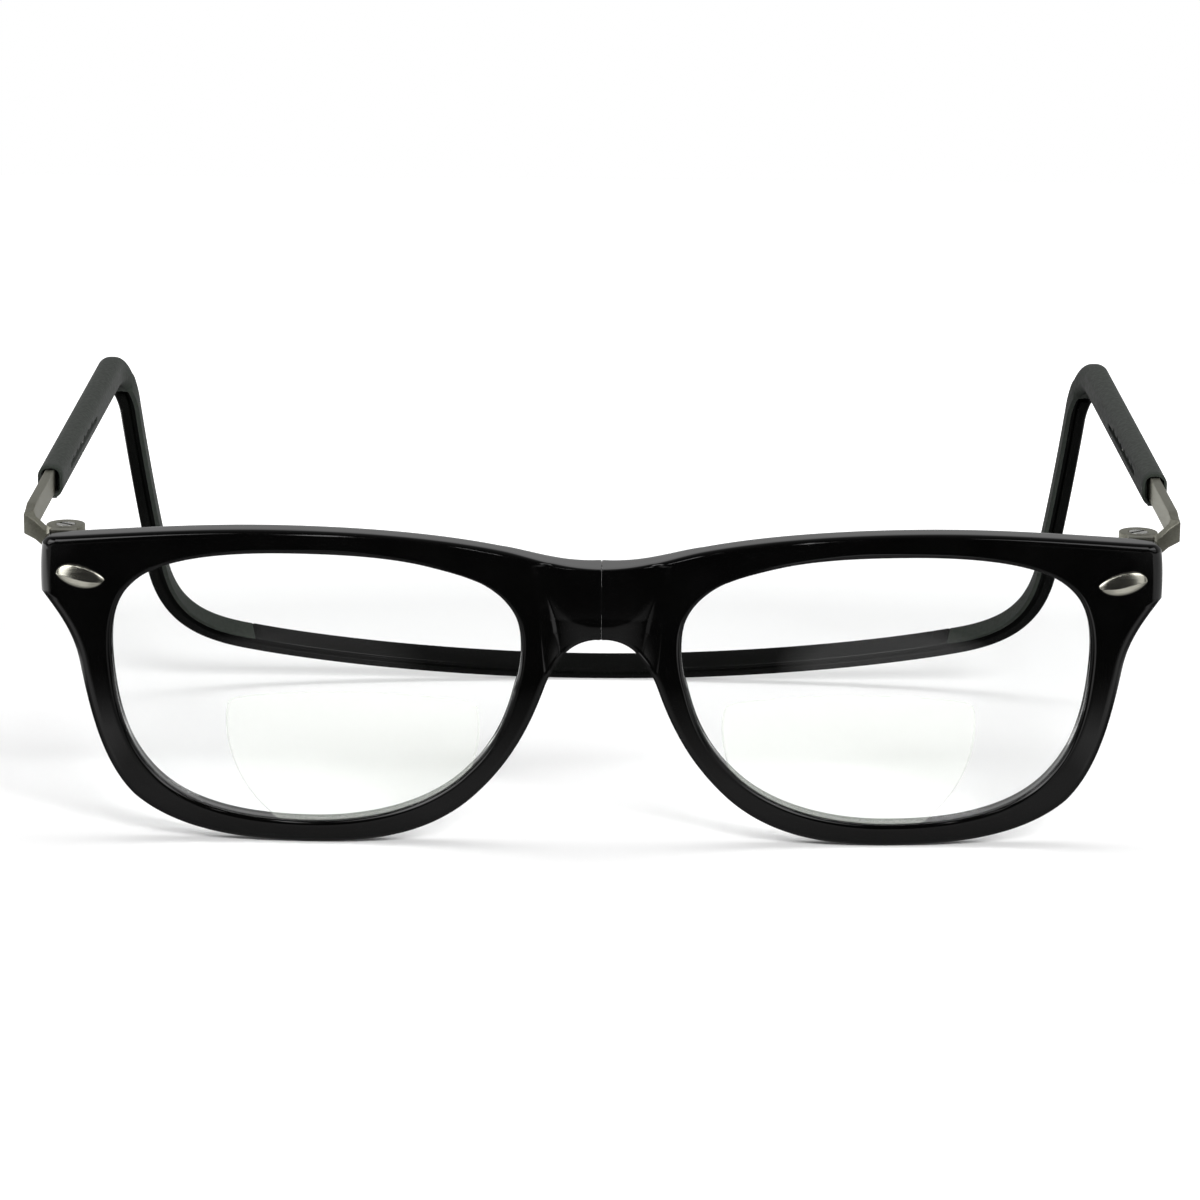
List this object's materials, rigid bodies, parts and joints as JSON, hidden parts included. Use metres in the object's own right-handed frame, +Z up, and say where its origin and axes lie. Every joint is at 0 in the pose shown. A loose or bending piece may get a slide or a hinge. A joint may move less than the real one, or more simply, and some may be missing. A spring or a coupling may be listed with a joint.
{
  "type": "eyeglasses",
  "caption": "Bifocal reading glasses with a front that parts at a magnetic bridge, sliding metal arms and a soft band that wraps behind the head.",
  "frame": {"origin": "middle of the object's footprint, on the surface that it stands on", "axes": "+X to the wearer's left, +Y from the front towards the back of the head, +Z up; the glasses stand on the rims and on the back of the band"},
  "size_m": [0.1464, 0.1558, 0.0535],
  "materials": {
    "front_black": "polished",
    "lens_clear": "polished",
    "magnet_nickel": "polished",
    "rivet_satin": "satin",
    "metal_pewter": "satin",
    "screw_bright": "satin",
    "washer_nylon": "matte",
    "tube_soft_touch": "matte",
    "band_black": "polished"
  },
  "bodies": {
    "headband": {"neck_band": "band_black", "temple_tube_right": "tube_soft_touch", "temple_tube_left": "tube_soft_touch"},
    "arm_right": {"arm_right": "metal_pewter", "detent_peg_right": "screw_bright"},
    "front_right": {"half_front_right": "front_black", "bifocal_lens_right": "lens_clear", "bridge_magnet_right": "magnet_nickel", "almond_rivet_right": "rivet_satin", "hinge_bracket_right": "metal_pewter", "hinge_screw_right": "screw_bright", "hinge_washers_right": "washer_nylon"},
    "arm_left": {"arm_left": "metal_pewter", "detent_peg_left": "screw_bright"},
    "front_left": {"half_front_left": "front_black", "bifocal_lens_left": "lens_clear", "bridge_magnet_left": "magnet_nickel", "almond_rivet_left": "rivet_satin", "hinge_bracket_left": "metal_pewter", "hinge_screw_left": "screw_bright", "hinge_washers_left": "washer_nylon"}
  },
  "joints": [
    {"name": "arm_slide_right", "type": "slide", "parent": "headband", "child": "arm_right", "axis": [0, -0.9915, -0.1302], "range_m": [-0.0143, 0.0143]},
    {"name": "front_hinge_right", "type": "hinge", "parent": "arm_right", "child": "front_right", "pos_m": [-0.0666, -0.06755, 0.03599], "axis": [0, 0.1302, -0.9915], "range_deg": [0, 75]},
    {"name": "arm_slide_left", "type": "slide", "parent": "headband", "child": "arm_left", "axis": [0, -0.9915, -0.1302], "range_m": [-0.0143, 0.0143]},
    {"name": "front_hinge_left", "type": "hinge", "parent": "arm_left", "child": "front_left", "pos_m": [0.0666, -0.06755, 0.03599], "axis": [0, -0.1302, 0.9915], "range_deg": [0, 75]}
  ]
}
